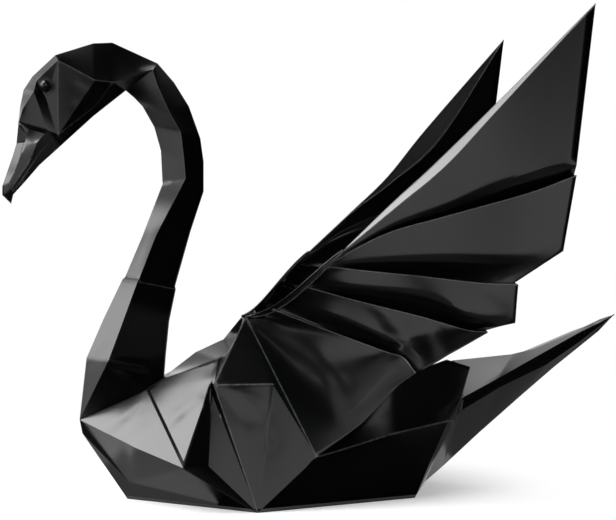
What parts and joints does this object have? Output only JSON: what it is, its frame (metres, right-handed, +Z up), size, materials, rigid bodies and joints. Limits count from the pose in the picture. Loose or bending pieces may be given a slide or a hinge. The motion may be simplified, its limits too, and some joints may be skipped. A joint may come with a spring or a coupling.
{
  "type": "origami swan",
  "caption": "Table decoration: a swan folded from black paper, with a curved neck, pleated raised wings, a pointed tail and bead eyes.",
  "frame": {"origin": "on the table, on the centre plane under the middle of the flat base", "axes": "+X from the beak towards the tail, -Y to the swan's left, +Z up"},
  "size_m": [0.1995, 0.063, 0.149],
  "materials": {
    "black_paper": "satin",
    "black_bead": "gloss"
  },
  "bodies": {
    "root": {"folded_sheet": "black_paper", "left_eye": "black_bead", "right_eye": "black_bead"}
  },
  "joints": []
}
